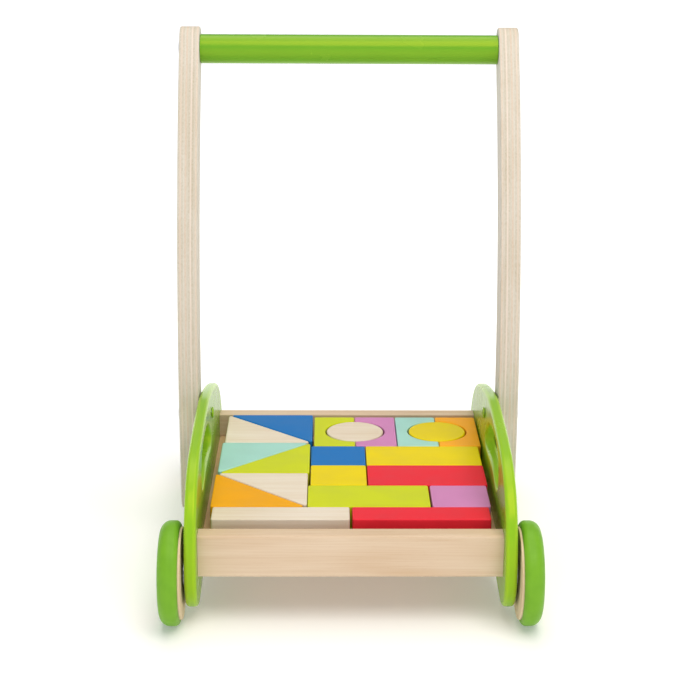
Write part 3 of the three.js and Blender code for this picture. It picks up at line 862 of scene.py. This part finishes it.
def build_tyre(end, side):
    """A ring with a rounded tread, seated on the core's step."""
    node = f"tyre_{end}_{side}"
    near, far, centre, radius = distances(node)
    step = tyre_step(end, side)
    corners = [
        (near, INNER_SEAM_RADIUS, SEAM_ROUNDING),
        (near, radius, TYRE_INNER_ROUNDING),
        (far, radius, TYRE_OUTER_ROUNDING),
        (far, OUTER_SEAM_RADIUS, SEAM_ROUNDING),
        (step, OUTER_SEAM_RADIUS, 0),
        (step, INNER_SEAM_RADIUS, 0),
    ]
    tyre = turned(f"{node}_fine", section(corners), centre, SIDES[side], WHEEL_SEGMENTS, closed=True)
    stand_in(tyre, node)


def build_core(end, side):
    """A stepped wooden disc, bored for the axle and its head, with a shallow seat for the hub cap."""
    node = f"wheel_core_{end}_{side}"
    near, far, centre, _ = distances(node)
    cap_near, _, _, cap_radius = distances(f"hub_cap_{end}_{side}")
    _, head_far, _, head_radius = distances(f"axle_bolt_{end}_{side}")
    step = tyre_step(end, side) - SEAM
    inner_radius = INNER_SEAM_RADIUS - SEAM
    outer_radius = OUTER_SEAM_RADIUS - SEAM
    bore = AXLE_RADIUS + CLOSE_GAP
    cap_recess = cap_radius + CLOSE_GAP
    head_recess = head_radius + CLOSE_GAP
    cap_seat = cap_near - CLOSE_GAP
    head_seat = head_far - AXLE_HEAD_HEIGHT - CLOSE_GAP
    corners = [
        (near, bore, CORE_HOLE_ROUNDING),
        (near, inner_radius, CORE_INNER_ROUNDING),
        (step, inner_radius, 0),
        (step, outer_radius, 0),
        (far, outer_radius, CORE_OUTER_ROUNDING),
        (far, cap_recess, CORE_HOLE_ROUNDING),
        (cap_seat, cap_recess, 0),
        (cap_seat, head_recess, CORE_SEAT_ROUNDING),
        (head_seat, head_recess, 0),
        (head_seat, bore, CORE_SEAT_ROUNDING),
    ]
    core = turned(f"{node}_fine", section(corners), centre, SIDES[side], WHEEL_SEGMENTS, closed=True)
    stand_in(core, node, WHEEL_WOOD)


def build_hub_cap(end, side):
    """A low dome with a soft rim."""
    node = f"hub_cap_{end}_{side}"
    near, far, centre, radius = distances(node)
    rim = near + CAP_RIM_SHARE * (far - near)
    profile = [Vector((near, CAP_CENTRE)), Vector((near, radius)), Vector((rim, radius))]
    for step in range(1, DOME_STEPS):
        angle = math.pi / 2 * step / DOME_STEPS
        profile.append(Vector((rim + (far - rim) * math.sin(angle), radius * math.cos(angle))))
    cap = turned(f"{node}_fine", profile, centre, SIDES[side], FASTENER_SEGMENTS)
    stand_in(cap, node)


def build_axle(end, side):
    """A stub axle with a broad round head, and the washer that keeps the wheel off the panel."""
    node = f"axle_bolt_{end}_{side}"
    near, far, centre, radius = distances(node)
    seat = far - AXLE_HEAD_HEIGHT
    corners = [
        (near, AXLE_CENTRE, 0),
        (near, AXLE_RADIUS, AXLE_TIP_ROUNDING),
        (seat, AXLE_RADIUS, 0),
        (seat, radius, AXLE_NECK_ROUNDING),
        (far, radius, AXLE_RIM_ROUNDING),
        (far, AXLE_CENTRE, 0),
    ]
    profile = section(corners, closed=False)
    axle = turned(f"{node}_fine", profile, centre, SIDES[side], FASTENER_SEGMENTS)
    stand_in(axle, node)
    build_ring(f"axle_washer_{end}_{side}", side, AXLE_RADIUS + WASHER_CLEARANCE, WASHER_ROUNDING)


def build_wheels():
    for end in ENDS:
        for side in SIDES:
            build_tyre(end, side)
            build_core(end, side)
            build_hub_cap(end, side)
            build_axle(end, side)


# ---- Building blocks ----------------------------------------------------------------------------


def disc_outline(low, high):
    centre = ((low.x + high.x) / 2, (low.y + high.y) / 2)
    radius = (high.x - low.x) / 2
    third = 120
    outline = Outline((centre[0] + radius, centre[1]))
    for start in range(0, 360, third):
        outline.arc(centre, radius, start, start + third)
    return outline.points


def triangle_outline(tag, low, high):
    side, end = TRIANGLE_CORNERS[tag]
    x, far_x = (high.x, low.x) if side == "right" else (low.x, high.x)
    y, far_y = (high.y, low.y) if end == "back" else (low.y, high.y)
    return polygon([(x, y), (far_x, y), (x, far_y)], BLOCK_CORNER)


def arch_outline(tag, low, high):
    """A bar with a half-round notch in one long side."""
    notch_on_right = tag in NOTCH_ON_RIGHT
    notch_x, plain_x = (high.x, low.x) if notch_on_right else (low.x, high.x)
    middle = (low.y + high.y) / 2
    sweep = -180 if notch_on_right else 180
    outline = Outline((plain_x, low.y))
    outline.line((notch_x, low.y))
    outline.line((notch_x, middle - NOTCH_RADIUS))
    outline.arc((notch_x, middle), NOTCH_RADIUS, -90, -90 + sweep)
    outline.line((notch_x, high.y))
    outline.line((plain_x, high.y))
    points = outline.points
    last = len(points) - 1
    corners = {0, 1, 2, last - 2, last - 1, last}  # all the other points lie round the notch
    return rounded(points, [BLOCK_CORNER if index in corners else 0 for index in range(len(points))])


def block_outline(kind, tag, low, high):
    if kind == "disc":
        return disc_outline(low, high)
    if kind == "triangle":
        return triangle_outline(tag, low, high)
    if kind == "arch":
        return arch_outline(tag, low, high)
    return rectangle(low, high, BLOCK_CORNER)


def build_blocks():
    """Block nodes are named block_KIND_TAG, such as block_arch_lime."""
    for node in SLOT_OF:
        if not node.startswith("block_"):
            continue
        kind, tag = node.removeprefix("block_").split("_", 1)
        low, high = box_of(node)
        outline = block_outline(kind, tag, low, high)
        block = slab(f"{node}_fine", outline, low.z, high.z, BLOCK_ROUNDING, upward)
        stand_in(block, node)


# ---- Studio -------------------------------------------------------------------------------------


def build_floor():
    """A round floor that sweeps up into a wall all round, so that side views show no horizon."""
    profile = [(FLOOR_RADIUS, 0)]
    for step in range(1, CURVE_STEPS + 1):
        angle = math.pi / 2 * step / CURVE_STEPS
        radius = FLOOR_RADIUS + SWEEP_RADIUS * math.sin(angle)
        profile.append((radius, SWEEP_RADIUS * (1 - math.cos(angle))))
    turns = [2 * math.pi * step / FLOOR_SEGMENTS for step in range(FLOOR_SEGMENTS)]
    bm = bmesh.new()
    rings = []
    for radius, height in profile:
        rings.append([bm.verts.new((radius * math.cos(t), radius * math.sin(t), height)) for t in turns])
    bm.faces.new(rings[0])
    for ring, other in zip(rings, rings[1:]):
        bridge(bm, ring, other)
    floor = finish_mesh("studio_floor", bm)
    floor.data.materials.append(glowing_floor("studio_floor", "#eeeeed"))


def build_camera():
    data = bpy.data.cameras.new("camera")
    data.lens = CAMERA_LENS
    data.clip_end = CAMERA_REACH
    camera = bpy.data.objects.new("camera", data)
    heading = Matrix.Rotation(-CAMERA_YAW, 4, "Z")
    tilt = Matrix.Rotation(math.pi / 2 - CAMERA_PITCH, 4, "X")
    roll = Matrix.Rotation(CAMERA_ROLL, 4, "Z")
    camera.matrix_world = Matrix.Translation(CAMERA_PLACE) @ (heading @ tilt) @ roll
    bpy.context.scene.collection.objects.link(camera)
    bpy.context.scene.camera = camera


def soft_light(name, target, place, size, power, tint):
    data = bpy.data.lights.new(name, "AREA")
    data.shape = "SQUARE"
    data.size = size
    data.energy = power
    data.color = tint
    light = bpy.data.objects.new(name, data)
    light.location = place
    light.rotation_euler = (target - Vector(place)).to_track_quat("-Z", "Y").to_euler()
    bpy.context.scene.collection.objects.link(light)


def build_lighting():
    """A large warm key light above the front, a smaller one overhead, and dim cooler light from all
    round."""
    middle = (Vector(cad_box[0]) + Vector(cad_box[1])) / 2
    soft_light("key_light", middle, **KEY_LIGHT)
    soft_light("top_light", middle, **TOP_LIGHT)
    world = bpy.data.worlds.new("studio")
    world.use_nodes = True
    background = world.node_tree.nodes["Background"]
    background.inputs["Color"].default_value = WORLD_TINT
    background.inputs["Strength"].default_value = WORLD_STRENGTH
    bpy.context.scene.world = world
    bpy.context.scene.view_settings.view_transform = "Standard"


build_side_panels()
build_rail("front_rail", 1)
build_rail("back_rail", -1)
build_tray_floor()
build_arms()
build_grip_bar()
build_fasteners()
build_wheels()
build_blocks()
build_floor()
build_camera()
build_lighting()
